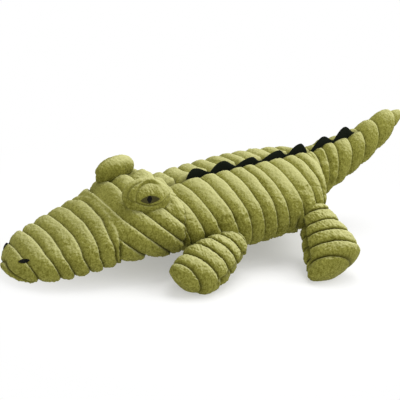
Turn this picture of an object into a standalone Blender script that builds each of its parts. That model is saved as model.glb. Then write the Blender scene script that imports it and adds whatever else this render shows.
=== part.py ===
"""Crocodile plush dog toy.

Ribbed plush skins over stuffing, with a squeaker inside the trunk, padded eyes,
and felt scallops along the back. Neck, tail and legs turn at their sewn seams.

The head points along -X, the toy's left side is -Y, and the floor is Z = 0.
All lengths are metres. Run with: blender --background --python part.py
"""
import math

import bmesh
import bpy
from mathutils import Matrix, Vector

for old_object in list(bpy.data.objects):
    bpy.data.objects.remove(old_object, do_unlink=True)

# Lengths along the body
HEAD_LENGTH = 0.193
TORSO_LENGTH = 0.183
TAIL_LENGTH = 0.120

# Widths and heights over the grooves of the plush
TORSO_WIDTH = 0.147
TORSO_CREST_HEIGHT = 0.0965
HEAD_WIDTH = 0.136
HEAD_CREST_HEIGHT = 0.087
TAIL_WIDTH = 0.060
TAIL_THICKNESS = 0.054
TAIL_RISE_HEIGHT = 0.067

# Plush, seams and fits
SKIN_WALL = 0.0035
RIB_RISE = 0.003
CLEARANCE = 0.0003
SEAM_GAP = 0.0006
FILLING_EASE = 0.0008
TURN_CLEARANCE = 0.0006
LID_EASE = 0.0009
SOLE_CUT = 0.0005
CUT_OVERRUN = 0.050

# Counts of ribs, and of facets around each form
TORSO_RIB_COUNT = 11
CHEEK_RIB_COUNT = 4
MUZZLE_RIB_COUNT = 7
TAIL_RIB_COUNT = 6
LEG_RIB_COUNT = 5
BODY_SIDE_COUNT = 18
JAW_SIDE_COUNT = 6
TAIL_SIDE_COUNT = 12
LEG_SIDE_COUNT = 10
DOME_STEP_COUNT = 3
LINING_STEP_COUNT = 6
DISH_SIDE_COUNT = 16
DISH_STEP_COUNT = 8

# Each rib swells quickly out of its groove: place along it, share of the rise
RIB_SHARES = ((0.0, 0.0), (0.28, 1.0), (0.72, 1.0))

# Exponents of the rounded sections, and the angle of a sharp edge in degrees
BODY_ROUNDNESS = 2.3
LIMB_ROUNDNESS = 2.0
SHARP_ANGLE = 50

# Swing of the seams with a gap for it, from rest, in degrees
NECK_SWING = 10
TAIL_SWING = 15

# Places along the body, with the box's middle at X = 0
NECK_X = HEAD_LENGTH - (HEAD_LENGTH + TORSO_LENGTH + TAIL_LENGTH) / 2
RUMP_X = NECK_X + TORSO_LENGTH

# Sections of the trunk: along, half width, top, bottom, backward lean
TORSO_SHARES = (
    (0.0, 0.88, 0.84, 0.16, 0.0),
    (0.115, 0.955, 0.89, 0.135, 0.10),
    (0.333, 1.0, 0.935, 0.14, 0.20),
    (0.552, 1.0, 0.966, 0.19, 0.20),
    (0.743, 0.96, 0.989, 0.237, 0.20),
    (0.869, 0.85, 1.0, 0.311, 0.15),
    (0.945, 0.71, 1.0, 0.386, 0.08),
    (1.0, 0.54, 0.99, 0.45, 0.0),
)
TORSO_STRETCH_SHARE = 0.22

# Sections of the head, from neck to nose: along, half width, top, bottom, backward lean
HEAD_SHARES = (
    (0.15, 1.0, 1.0, 0.15, 0.15),
    (0.24, 1.02, 0.99, 0.16, 0.30),
    (0.36, 0.96, 0.93, 0.155, 0.36),
    (0.416, 0.92, 0.84, 0.15, 0.36),
    (0.49, 0.875, 0.735, 0.14, 0.35),
    (0.614, 0.83, 0.615, 0.08, 0.32),
    (0.762, 0.75, 0.475, 0.02, 0.28),
    (0.86, 0.65, 0.42, 0.0, 0.20),
    (1.0, 0.50, 0.335, 0.0, 0.05),
)
MUZZLE_SEAM_SHARE = 0.36
NOSE_CAP_SHARE = 0.885
MOUTH_ANGLE = 120

# Sections of the tail: along, half width, rise, half thickness
TAIL_SHARES = (
    (0.0, 1.0, 0.0, 1.0),
    (0.19, 0.87, 0.155, 0.98),
    (0.41, 0.70, 0.315, 0.86),
    (0.545, 0.60, 0.457, 0.76),
    (0.774, 0.44, 0.757, 0.60),
    (0.86, 0.37, 0.87, 0.51),
    (1.0, 0.28, 1.0, 0.38),
)
TAIL_CAP_SHARE = 0.82
TAIL_STRETCH_SHARE = -0.03

# Legs: pivot in the trunk's side, as distances from the neck, from the middle plane and
# from the floor, and middle of the foot, which rests on the floor
FRONT_LEG_PIVOT = (0.036, 0.076, 0.036)
FRONT_FOOT = (-0.019, 0.095)
REAR_LEG_PIVOT = (0.151, 0.077, 0.049)
REAR_FOOT = (0.146, 0.116)
FRONT_LEG_ROOT_RADIUS = 0.0190
FRONT_FOOT_RADIUS = 0.0205
REAR_LEG_ROOT_RADIUS = 0.0195
REAR_FOOT_RADIUS = 0.0255
LEG_SHARES = ((0.0, 0.0), (0.35, 0.45), (0.7, 1.0), (1.0, 1.0))
ROOT_OPENING = 35

# Eyes
EYE_FORWARD = 0.053
EYE_ACROSS = 0.038
EYE_HEIGHT = 0.0915
EYE_RADII = (0.0235, 0.0085, 0.0162)
EYE_GAZE = (-0.25, 0.80, 0.50)
EYE_STEP_COUNT = 4
EMBROIDERY_STEP_COUNT = 3
LID_THICKNESS = 0.0045
LID_HALF_ANGLE = 116
LID_BACK = (0.0, -0.93, 0.37)
IRIS_THICKNESS = 0.001
IRIS_HALF_ANGLES = (25, 13)
PUPIL_HALF_ANGLES = (4, 10)
IRIS_SLANT = 4
IRIS_AIM = (0.17, 0.94, -0.28)
EYE_SIDE_COUNT = 14

# Nostrils
NOSTRIL_ALONG_SHARE = 0.95
NOSTRIL_ANGLE = 46
NOSTRIL_RADII = (0.0055, 0.0035, 0.0016)

# Felt scallops
FELT_THICKNESS = 0.002
FELT_BAND = 0.003
SCALLOP_HEIGHT = 0.0085
SCALLOP_PITCH = 0.0315
TAIL_SCALLOP_PITCH = 0.028
SCALLOP_ROUNDNESS = 0.8
TORSO_SCALLOP_COUNT = 5
TAIL_SCALLOP_COUNT = 2
SCALLOP_STEP_COUNT = 5
TAIL_FELT_START = 0.001

# Squeaker
SQUEAKER_ALONG = 0.090
BULB_RADIUS = 0.022
BULB_HALF_THICKNESS = 0.011
BULB_WALL = 0.0012
POUCH_WALL = 0.001
POUCH_EASE = 0.0008
POUCH_OPENING = 22
BULB_OPENING = 12
REED_RADIUS = 0.0032
REED_LENGTH = 0.007
REED_BORE = 0.0015
SQUEAKER_SIDE_COUNT = 12
SQUEAKER_STEP_COUNT = 6

# Sleeve of the neck gusset inside the trunk's skin
GUSSET_SLEEVE = 0.008


def material(name, color, roughness):
    """Return a Principled material with a linear colour."""
    result = bpy.data.materials.new(name)
    result.use_nodes = True
    shader = result.node_tree.nodes["Principled BSDF"]
    shader.inputs["Base Color"].default_value = (*color, 1.0)
    shader.inputs["Roughness"].default_value = roughness
    shader.inputs["Metallic"].default_value = 0.0
    result.diffuse_color = (*color, 1.0)
    return result


PLUSH = material("plush", (0.33, 0.33, 0.085), 0.95)
FILLING = material("filling", (0.82, 0.82, 0.80), 1.0)
FELT = material("felt", (0.008, 0.012, 0.008), 0.95)
THREAD = material("thread", (0.006, 0.006, 0.005), 0.6)
IRIS_THREAD = material("iris_thread", (0.055, 0.055, 0.012), 0.6)
POUCH_CLOTH = material("pouch_cloth", (0.70, 0.70, 0.66), 0.9)
BULB_VINYL = material("bulb_vinyl", (0.80, 0.80, 0.78), 0.4)
REED_PLASTIC = material("reed_plastic", (0.75, 0.10, 0.08), 0.35)


def loft(name, rings, look, closed=False, wall=False, pivot=None):
    """Join closed rings of points into one closed body.

    A ring whose points all coincide becomes a pole. An open run of rings gets a
    cap at each end that isn't a pole, and a closed run joins its ends. The rings
    of a wall run along its outer face and back along its inner one.
    """
    mesh = bpy.data.meshes.new(name)
    body = bmesh.new()
    loops = [[body.verts.new(point) for point in ring] for ring in rings]
    count = len(loops[0])
    pairs = list(zip(loops, loops[1:]))
    if closed:
        pairs.append((loops[-1], loops[0]))
    for first, second in pairs:
        for i in range(count):
            j = (i + 1) % count
            body.faces.new((first[i], first[j], second[j], second[i]))
    for loop in () if closed else (loops[0], loops[-1]):
        if wall:
            for i in range(count // 2 - 1):
                body.faces.new((loop[i], loop[i + 1], loop[-2 - i], loop[-1 - i]))
        else:
            body.faces.new(loop)
    bmesh.ops.remove_doubles(body, verts=body.verts, dist=CLEARANCE / 1000)
    bmesh.ops.triangulate(body, faces=body.faces, quad_method="FIXED")
    bmesh.ops.recalc_face_normals(body, faces=body.faces)
    if pivot:
        bmesh.ops.translate(body, verts=body.verts, vec=-Vector(pivot))
    body.to_mesh(mesh)
    body.free()
    mesh.materials.append(look)
    mesh.shade_smooth()
    mesh.set_sharp_from_angle(angle=math.radians(SHARP_ANGLE))
    result = bpy.data.objects.new(name, mesh)
    if pivot:
        result.location = pivot
    bpy.context.collection.objects.link(result)
    return result


def as_cutter(cutter):
    """Hide a helper body that only cuts others."""
    cutter.hide_render = True
    cutter.display_type = "WIRE"
    return cutter


def cut(target, cutter):
    """Cut one body by another, and keep the cut live."""
    step = target.modifiers.new("cut_by_" + cutter.name, "BOOLEAN")
    step.operation = "DIFFERENCE"
    step.solver = "EXACT"
    step.object = cutter


def interpolate(rows, along):
    """Read a smooth curve through rows whose first column is the place along."""
    if along <= rows[0][0]:
        return rows[0][1:]
    if along >= rows[-1][0]:
        return rows[-1][1:]
    k = max(i for i in range(len(rows) - 1) if rows[i][0] <= along)
    span = rows[k + 1][0] - rows[k][0]
    t = (along - rows[k][0]) / span
    values = []
    for column in range(1, len(rows[0])):
        start, end = rows[k][column], rows[k + 1][column]
        slopes = []
        for i in (k, k + 1):
            low, high = max(i - 1, 0), min(i + 1, len(rows) - 1)
            slopes.append((rows[high][column] - rows[low][column]) / (rows[high][0] - rows[low][0]))
        value = (2 * t**3 - 3 * t**2 + 1) * start + (t**3 - 2 * t**2 + t) * span * slopes[0]
        value += (3 * t**2 - 2 * t**3) * end + (t**3 - t**2) * span * slopes[1]
        values.append(value)
    return values


def rib_rings(count, stretch, start=0.0, end=1.0, round_tip=False):
    """Places along a form with the share of the rib rise at each.

    The ribs narrow towards the end by the stretch. A round tip closes the last
    rib with places that crowd towards its pole.
    """
    edges = []
    for i in range(count + 1):
        u = i / count
        edges.append(start + (end - start) * u * (1 + stretch - stretch * u))
    rings = []
    for i in range(count):
        shares = RIB_SHARES
        if round_tip and i == count - 1:
            shares = [(0.0, 0.0)] + [(math.sin(math.pi * k / 8), 1.0) for k in (1, 2, 3, 4)]
        for place, rise in shares:
            rings.append((edges[i] + (edges[i + 1] - edges[i]) * place, rise))
    if not round_tip:
        rings.append((edges[-1], 0.0))
    return rings


def arc_angles(first, last, count):
    """Angles in degrees from first to last, in equal steps."""
    return [first + (last - first) * i / count for i in range(count + 1)]


def around(count):
    """Angles in degrees of a whole turn, from the top."""
    return [360 * i / count for i in range(count)]


class Form:
    """A stuffed form: super-elliptical sections along a line, closed by a round cap.

    Rows hold: place along, half width, top, bottom, backward lean, in metres but for
    the first and the last, which are shares. The place function sets a distance
    along, an offset across and a height in space.
    """

    def __init__(self, length, rows, place, power, cap=None):
        self.length = length
        self.rows = rows
        self.place = place
        self.power = power
        self.cap = cap

    def section(self, along, grow, end_grow):
        """Half width, centre height, half height and lean, grown outwards all round."""
        half_width, top, bottom, lean = interpolate(self.rows, along)
        shrink = 1.0
        if self.cap is not None and along > self.cap:
            end = 1 + end_grow / self.length
            shrink = math.sqrt(max(0.0, 1 - ((along - self.cap) / (end - self.cap)) ** 2))
        half_height = (top - bottom) / 2
        return (half_width + grow) * shrink, (top + bottom) / 2, (half_height + grow) * shrink, lean

    def point(self, along, angle, grow, end_grow, lift=0.0):
        """The surface point at an angle from the top, in degrees towards +Y."""
        half_width, centre, half_height, lean = self.section(along, grow, end_grow)
        turn = math.radians(angle)
        sine, cosine = math.sin(turn), math.cos(turn)
        across = math.copysign(abs(sine) ** (2 / self.power), sine) * half_width
        up = math.copysign(abs(cosine) ** (2 / self.power), cosine) * half_height
        distance = self.length * along - lean * (half_height - up)
        return self.place(distance, across, centre + up + lift)

    def ring(self, along, angles, grow, end_grow, lift=0.0):
        return [self.point(along, angle, grow, end_grow, lift) for angle in angles]


def cap_place(form, place, end_grow):
    """Map a place on the nominal cap to the same place on a grown or shrunk cap."""
    if form.cap is None or place <= form.cap:
        return place
    end = 1 + end_grow / form.length
    return form.cap + (place - form.cap) / (1 - form.cap) * (end - form.cap)


def outer_rings(form, places, angles, extra=0.0, smooth=False):
    """Rings of a form's ribbed outer face, or of its envelope when smooth."""
    rings = []
    for place, rise in places:
        grow = RIB_RISE * (1.0 if smooth else rise) + extra
        rings.append(form.ring(cap_place(form, place, RIB_RISE + extra), angles, grow, RIB_RISE + extra))
    return rings


def inner_rings(form, places, angles, inset):
    """Rings of a form's plain inner face."""
    return [form.ring(cap_place(form, place, -inset), angles, -inset, -inset) for place in places]


# The forms of trunk, head and tail
def torso_place(distance, across, height):
    return Vector((NECK_X + distance, across, height))


def head_place(distance, across, height):
    return Vector((NECK_X - distance, across, height))


TORSO_ROWS = [
    (along, width * TORSO_WIDTH / 2, top * TORSO_CREST_HEIGHT, bottom * TORSO_CREST_HEIGHT, -lean)
    for along, width, top, bottom, lean in TORSO_SHARES
]
TORSO_FORM = Form(TORSO_LENGTH, TORSO_ROWS, torso_place, BODY_ROUNDNESS)

NECK_HALF_WIDTH, NECK_HEIGHT, NECK_HALF_HEIGHT, NECK_LEAN = TORSO_FORM.section(0.0, 0.0, 0.0)
NECK_PIVOT = Vector((NECK_X, 0.0, NECK_HEIGHT))
NECK_ROW = (0.0, NECK_HALF_WIDTH, NECK_HEIGHT + NECK_HALF_HEIGHT, NECK_HEIGHT - NECK_HALF_HEIGHT, 0.0)
NECK_GAP = (NECK_HALF_HEIGHT + RIB_RISE) * math.tan(math.radians(NECK_SWING)) + 3 * CLEARANCE
RIM_SHARE = NECK_GAP / HEAD_LENGTH
RIM_ROW = (RIM_SHARE,) + NECK_ROW[1:]
CHIN_LIFT = RIB_RISE + SEAM_GAP / 2 - SOLE_CUT
HEAD_ROWS = [NECK_ROW, RIM_ROW] + [
    (along, width * HEAD_WIDTH / 2, top * HEAD_CREST_HEIGHT, bottom * HEAD_CREST_HEIGHT + CHIN_LIFT, lean)
    for along, width, top, bottom, lean in HEAD_SHARES
]
HEAD_FORM = Form(HEAD_LENGTH, HEAD_ROWS, head_place, BODY_ROUNDNESS, NOSE_CAP_SHARE)

RUMP_HALF_WIDTH, RUMP_HEIGHT, RUMP_HALF_HEIGHT, RUMP_LEAN = TORSO_FORM.section(1.0, 0.0, 0.0)
TAIL_ROOT_RADIUS = TAIL_WIDTH / 2
TAIL_GAP = (TAIL_ROOT_RADIUS + RIB_RISE) * math.sin(math.radians(TAIL_SWING)) + 3 * CLEARANCE
TAIL_PIVOT = Vector((RUMP_X + TAIL_GAP, 0.0, RUMP_HEIGHT))


def tail_place(distance, across, height):
    return TAIL_PIVOT + Vector((distance, across, height))


TAIL_ROWS = [
    (
        along,
        width * TAIL_WIDTH / 2,
        rise * TAIL_RISE_HEIGHT + thick * TAIL_THICKNESS / 2,
        rise * TAIL_RISE_HEIGHT - thick * TAIL_THICKNESS / 2,
        0.0,
    )
    for along, width, rise, thick in TAIL_SHARES
]
TAIL_FORM = Form(TAIL_LENGTH - TAIL_GAP, TAIL_ROWS, tail_place, LIMB_ROUNDNESS, TAIL_CAP_SHARE)

TORSO_PLACES = rib_rings(TORSO_RIB_COUNT, TORSO_STRETCH_SHARE)
CHEEK_PLACES = rib_rings(CHEEK_RIB_COUNT, 0.0, RIM_SHARE, MUZZLE_SEAM_SHARE - SEAM_GAP / HEAD_LENGTH)
MUZZLE_PLACES = rib_rings(MUZZLE_RIB_COUNT, 0.0, MUZZLE_SEAM_SHARE, 1.0, round_tip=True)
TAIL_PLACES = rib_rings(TAIL_RIB_COUNT, TAIL_STRETCH_SHARE, round_tip=True)


def dome_rings(centre, radii, steps, sides, first=0.0, last=90.0, axis=0):
    """Rings of an ellipsoid round one of its axes, between two angles from its low end."""
    rings = []
    for polar in arc_angles(first, last, steps):
        turn = math.radians(polar)
        ring = []
        for angle in around(sides):
            spin = math.radians(angle)
            offset = Vector((0.0, 0.0, 0.0))
            offset[axis] = -math.cos(turn)
            offset[(axis + 1) % 3] = math.sin(turn) * math.sin(spin)
            offset[(axis + 2) % 3] = math.sin(turn) * math.cos(spin)
            ring.append(centre + Vector([r * o for r, o in zip(radii, offset)]))
        rings.append(ring)
    return rings


def whole_ball(centre, radii, sides, steps, axis=0):
    return dome_rings(centre, radii, steps, sides, 0.0, 180.0, axis)


def dish(name, centre, radii, axis, steps=DISH_STEP_COUNT):
    """The hollow that a turning root sits in, whose facets all lie outside the radii."""
    facet = math.cos(math.pi / DISH_SIDE_COUNT) * math.cos(math.pi / (2 * steps))
    ball = whole_ball(centre, [radius / facet for radius in radii], DISH_SIDE_COUNT, steps, axis)
    return as_cutter(loft(name, ball, PLUSH))


def grown(radii, amount):
    return [radius + amount for radius in radii]


# Neck gusset: a plush dome under the edge of the head, sewn into the trunk's front edge
GUSSET_RADIUS = NECK_HALF_HEIGHT - SKIN_WALL - CLEARANCE
GUSSET_RADII = (GUSSET_RADIUS, NECK_HALF_WIDTH - SKIN_WALL - CLEARANCE, GUSSET_RADIUS)
GUSSET_INSIDE = grown(GUSSET_RADII, -SKIN_WALL)


def sleeve_ring(radii, distance, sides):
    """One ring of the gusset's sleeve, behind the pivot."""
    ring = dome_rings(NECK_PIVOT, radii, 1, sides, 90.0, 90.0)[0]
    return [point + Vector((distance, 0.0, 0.0)) for point in ring]


def neck_gusset():
    outside = dome_rings(NECK_PIVOT, GUSSET_RADII, DOME_STEP_COUNT, BODY_SIDE_COUNT)
    inside = dome_rings(NECK_PIVOT, GUSSET_INSIDE, DOME_STEP_COUNT, BODY_SIDE_COUNT)
    outside.append(sleeve_ring(GUSSET_RADII, GUSSET_SLEEVE, BODY_SIDE_COUNT))
    inside.append(sleeve_ring(GUSSET_INSIDE, GUSSET_SLEEVE, BODY_SIDE_COUNT))
    return loft("neck_gusset", outside + inside[::-1], PLUSH)


# Sockets: each moving root is a dome that turns in a dish of the same shape
TAIL_ROOT_RADII = (TAIL_ROOT_RADIUS, TAIL_ROOT_RADIUS, TAIL_THICKNESS / 2)


def tail_dome(grow, first=0.0):
    return dome_rings(TAIL_PIVOT, grown(TAIL_ROOT_RADII, grow), DOME_STEP_COUNT, TAIL_SIDE_COUNT, first)


class Leg:
    """A leg's pivot and foot in space: side is -1 for the toy's left."""

    def __init__(self, pivot, foot, root_radius, foot_radius, side):
        sole = (foot_radius + RIB_RISE) * math.cos(math.pi / LEG_SIDE_COUNT) - SOLE_CUT
        self.pivot = Vector((NECK_X + pivot[0], side * pivot[1], pivot[2]))
        self.foot = Vector((NECK_X + foot[0], side * foot[1], sole))
        self.root_radius = root_radius
        self.ball_radius = root_radius + RIB_RISE
        self.foot_radius = foot_radius


LEGS = {}
for end, shape in (
    ("front", (FRONT_LEG_PIVOT, FRONT_FOOT, FRONT_LEG_ROOT_RADIUS, FRONT_FOOT_RADIUS)),
    ("rear", (REAR_LEG_PIVOT, REAR_FOOT, REAR_LEG_ROOT_RADIUS, REAR_FOOT_RADIUS)),
):
    LEGS[end + "_left"] = Leg(*shape, -1)
    LEGS[end + "_right"] = Leg(*shape, 1)


# Trunk
def torso_outline(extra, smooth):
    """The trunk's outer rings, from neck to rump, with its flat gathered end."""
    rings = outer_rings(TORSO_FORM, TORSO_PLACES, around(BODY_SIDE_COUNT), extra, smooth)
    centre = Vector((RUMP_X + extra, 0.0, RUMP_HEIGHT))
    rings[-1] = [point + Vector((extra, 0.0, 0.0)) for point in rings[-1]]
    rings.append([centre] * BODY_SIDE_COUNT)
    return rings


def torso_skin(dishes):
    angles = around(BODY_SIDE_COUNT)
    outside = torso_outline(0.0, False)
    inside_places = arc_angles(0.0, 1 - SKIN_WALL / TORSO_LENGTH, LINING_STEP_COUNT)
    inside = inner_rings(TORSO_FORM, inside_places, angles, SKIN_WALL)
    inside.append([Vector((RUMP_X - SKIN_WALL, 0.0, RUMP_HEIGHT))] * BODY_SIDE_COUNT)
    skin = loft("torso_skin", inside[::-1] + outside, PLUSH)
    for dish in dishes:
        cut(skin, dish)
    return skin


def torso_stuffing(dishes, pocket):
    """Two wads of filling, with the squeaker's pocket between them."""
    angles = around(BODY_SIDE_COUNT)
    inset = SKIN_WALL + CLEARANCE + FILLING_EASE
    front = grown(GUSSET_INSIDE, -CLEARANCE)
    rings = dome_rings(NECK_PIVOT, front, DOME_STEP_COUNT, BODY_SIDE_COUNT)
    rings.append(sleeve_ring(front, GUSSET_SLEEVE + CLEARANCE, BODY_SIDE_COUNT))
    first = (GUSSET_SLEEVE + 2 * CLEARANCE) / TORSO_LENGTH
    rings += inner_rings(TORSO_FORM, arc_angles(first, 1 - inset / TORSO_LENGTH, LINING_STEP_COUNT), angles, inset)
    rings.append([Vector((RUMP_X - inset, 0.0, RUMP_HEIGHT))] * BODY_SIDE_COUNT)
    for name, side in (("torso_stuffing_upper", 1), ("torso_stuffing_lower", -1)):
        wad = loft(name, rings, FILLING)
        body = bmesh.new()
        body.from_mesh(wad.data)
        level = SQUEAKER_CENTRE.z + side * CLEARANCE / 2
        everything = body.verts[:] + body.edges[:] + body.faces[:]
        middle = {"plane_co": (0, 0, level), "plane_no": (0, 0, -side)}
        bmesh.ops.bisect_plane(body, geom=everything, clear_outer=True, **middle)
        rim = [edge for edge in body.edges if edge.is_boundary]
        bmesh.ops.holes_fill(body, edges=rim, sides=0)
        bmesh.ops.recalc_face_normals(body, faces=body.faces)
        body.to_mesh(wad.data)
        body.free()
        for cutter in dishes + [pocket]:
            cut(wad, cutter)


# Squeaker: a hollow bulb with a reed in its mouth, inside a sewn pouch
SQUEAKER_HEIGHT = TORSO_FORM.section(SQUEAKER_ALONG / TORSO_LENGTH, 0.0, 0.0)[1]
SQUEAKER_CENTRE = Vector((NECK_X + SQUEAKER_ALONG, 0.0, SQUEAKER_HEIGHT))
BULB_RADII = (BULB_RADIUS, BULB_RADIUS, BULB_HALF_THICKNESS)
POUCH_RADII = grown(BULB_RADII, POUCH_EASE + POUCH_WALL)


def hollow_egg(name, centre, radii, wall, opening, look):
    """An ellipsoid shell with a round opening towards -X."""
    outside = dome_rings(centre, radii, SQUEAKER_STEP_COUNT, SQUEAKER_SIDE_COUNT, opening, 180.0)
    inside = dome_rings(centre, grown(radii, -wall), SQUEAKER_STEP_COUNT, SQUEAKER_SIDE_COUNT, opening, 180.0)
    return loft(name, outside[::-1] + inside, look)


def squeaker():
    hollow_egg("squeaker_pouch", SQUEAKER_CENTRE, POUCH_RADII, POUCH_WALL, POUCH_OPENING, POUCH_CLOTH)
    bulb = hollow_egg("squeaker_bulb", SQUEAKER_CENTRE, BULB_RADII, BULB_WALL, BULB_OPENING, BULB_VINYL)
    middle = SQUEAKER_CENTRE - Vector((BULB_RADIUS, 0.0, 0.0))
    seat = pipe("reed_seat", middle, REED_RADIUS + CLEARANCE, 0.0, REED_LENGTH * 2, BULB_VINYL)
    cut(bulb, as_cutter(seat))
    inward = Vector((REED_LENGTH / 2, 0.0, 0.0))
    pipe("squeaker_reed", middle + inward, REED_RADIUS, REED_BORE, REED_LENGTH, REED_PLASTIC)
    room = grown(POUCH_RADII, CLEARANCE)
    pocket = whole_ball(SQUEAKER_CENTRE, room, SQUEAKER_SIDE_COUNT, SQUEAKER_STEP_COUNT * 2)
    return as_cutter(loft("squeaker_pocket", pocket, FILLING))


def pipe(name, centre, radius, bore, length, look):
    """A tube along X, or a rod where the bore is zero."""
    rings = []
    for size, places in ((radius, (-0.5, 0.5)), (bore, (0.5, -0.5))):
        for place in places:
            ring = []
            for angle in around(SQUEAKER_SIDE_COUNT):
                turn = math.radians(angle)
                ring.append(centre + Vector((place * length, size * math.sin(turn), size * math.cos(turn))))
            rings.append(ring)
    if bore:
        return loft(name, rings, look, closed=True)
    return loft(name, rings[:2], look)


# Head
UPPER_ANGLES = arc_angles(-MOUTH_ANGLE, MOUTH_ANGLE, BODY_SIDE_COUNT - JAW_SIDE_COUNT)
JAW_ANGLES = arc_angles(MOUTH_ANGLE, 360 - MOUTH_ANGLE, JAW_SIDE_COUNT)


def head_panels():
    """Crown and cheeks, muzzle and jaw, sewn along the mouth line and before the eyes."""
    for name, places, angles, lift in (
        ("head_skin", CHEEK_PLACES, UPPER_ANGLES, SEAM_GAP / 2),
        ("muzzle_skin", MUZZLE_PLACES, UPPER_ANGLES, SEAM_GAP / 2),
        ("jaw_skin", CHEEK_PLACES[:-1] + MUZZLE_PLACES, JAW_ANGLES, -SEAM_GAP / 2),
    ):
        rings = []
        for place, rise in places:
            outer_place = cap_place(HEAD_FORM, place, RIB_RISE)
            inner_place = cap_place(HEAD_FORM, place, -SKIN_WALL)
            outside = HEAD_FORM.ring(outer_place, angles, RIB_RISE * rise, RIB_RISE, lift)
            inside = HEAD_FORM.ring(inner_place, angles, -SKIN_WALL, -SKIN_WALL, lift)
            rings.append(outside + inside[::-1])
        skin = loft(name, rings, PLUSH, wall=True, pivot=NECK_PIVOT)
        if name != "head_skin":
            cut(skin, FLOOR)


def head_stuffing():
    inset = SKIN_WALL + CLEARANCE + FILLING_EASE
    places = [place for place, rise in CHEEK_PLACES[:-1] + MUZZLE_PLACES if rise == 0.0]
    places += [place for place, rise in MUZZLE_PLACES if place > NOSE_CAP_SHARE]
    rings = inner_rings(HEAD_FORM, sorted(set(places)), UPPER_ANGLES + JAW_ANGLES[1:-1], inset)
    filling = loft("head_stuffing", rings, FILLING, pivot=NECK_PIVOT)
    cut(filling, dish("head_dish", NECK_PIVOT, grown(GUSSET_RADII, TURN_CLEARANCE), 1, DISH_STEP_COUNT * 2))


def eye_place(side):
    """Return a function that sets a point of an eye in space.

    It takes lengths towards the rear, outwards along the gaze and upwards.
    """
    centre = Vector((NECK_X - EYE_FORWARD, side * EYE_ACROSS, EYE_HEIGHT))
    gaze = Vector((EYE_GAZE[0], side * EYE_GAZE[1], EYE_GAZE[2])).normalized()
    level = gaze.cross(Vector((0.0, 0.0, side))).normalized()
    upright = level.cross(gaze) * side

    def place(rear, out, up):
        return centre + level * rear + gaze * out + upright * up

    return place


def eye_patch(name, place, direction, slant, look):
    """Return a function that covers part of an eye pad around a direction.

    It takes the patch's two half angles, the offsets of its faces and its steps.
    """
    axis = Vector(direction).normalized()
    level = Matrix.Rotation(math.radians(slant), 3, axis) @ Vector((1.0, 0.0, 0.0))
    upright = axis.cross(level)

    def make(half_angles, inner, outer, steps):
        def ring(share, offset):
            points = []
            for angle in around(EYE_SIDE_COUNT):
                turn = math.radians(angle)
                narrowing = math.hypot(math.cos(turn) / half_angles[0], math.sin(turn) / half_angles[1])
                reach = math.radians(share / narrowing)
                side = level * math.cos(turn) + upright * math.sin(turn)
                aim = axis * math.cos(reach) + side * math.sin(reach)
                points.append(place(*[(r + offset) * a for r, a in zip(EYE_RADII, aim)]))
            return points

        shares = arc_angles(0.0, 1.0, steps)
        outside = [ring(share, outer) for share in shares]
        inside = [ring(share, inner) for share in shares[::-1]]
        return loft(name, outside + inside, look, pivot=NECK_PIVOT)

    return make


def eyes(head_cutter):
    for name, side in (("left", -1), ("right", 1)):
        place = eye_place(side)
        ball = whole_ball(Vector((0.0, 0.0, 0.0)), EYE_RADII, EYE_SIDE_COUNT, EYE_STEP_COUNT)
        ball = [[place(*point) for point in ring] for ring in ball]
        mound = loft(name + "_eye_mound", ball, PLUSH, pivot=NECK_PIVOT)
        lid = eye_patch(name + "_eyelid", place, LID_BACK, 0.0, PLUSH)
        lid = lid((LID_HALF_ANGLE, LID_HALF_ANGLE), LID_EASE, LID_THICKNESS, EYE_STEP_COUNT + 2)
        iris_top = CLEARANCE + IRIS_THICKNESS
        iris = eye_patch(name + "_iris", place, IRIS_AIM, IRIS_SLANT, IRIS_THREAD)
        iris(IRIS_HALF_ANGLES, CLEARANCE, iris_top, EMBROIDERY_STEP_COUNT)
        pupil = eye_patch(name + "_pupil", place, IRIS_AIM, IRIS_SLANT, THREAD)
        pupil_foot = iris_top + CLEARANCE
        pupil(PUPIL_HALF_ANGLES, pupil_foot, pupil_foot + IRIS_THICKNESS, EMBROIDERY_STEP_COUNT)
        for piece in (mound, lid):
            cut(piece, head_cutter)


def nostrils(head_cutter):
    for name, side in (("left", -1), ("right", 1)):
        centre = HEAD_FORM.point(NOSTRIL_ALONG_SHARE, side * NOSTRIL_ANGLE, RIB_RISE, RIB_RISE)
        ball = whole_ball(centre, NOSTRIL_RADII, EYE_SIDE_COUNT, EYE_STEP_COUNT)
        pad = loft(name + "_nostril", ball, THREAD, pivot=NECK_PIVOT)
        cut(pad, head_cutter)


# Tail
def tail():
    angles = around(TAIL_SIDE_COUNT)
    opening = ROOT_OPENING
    outside = tail_dome(0.0, first=opening)[:-1] + outer_rings(TAIL_FORM, TAIL_PLACES, angles)
    inside = tail_dome(-SKIN_WALL, first=opening)[:-1]
    inside_places = arc_angles(0.0, TAIL_CAP_SHARE, LINING_STEP_COUNT) + arc_angles(TAIL_CAP_SHARE, 1.0, DOME_STEP_COUNT)[1:]
    inside += inner_rings(TAIL_FORM, inside_places, angles, SKIN_WALL)
    loft("tail_skin", outside[::-1] + inside, PLUSH, pivot=TAIL_PIVOT)
    inset = SKIN_WALL + CLEARANCE + FILLING_EASE
    filling = tail_dome(-inset)[:-1] + inner_rings(TAIL_FORM, inside_places, angles, inset)
    loft("tail_stuffing", filling, FILLING, pivot=TAIL_PIVOT)


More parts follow.
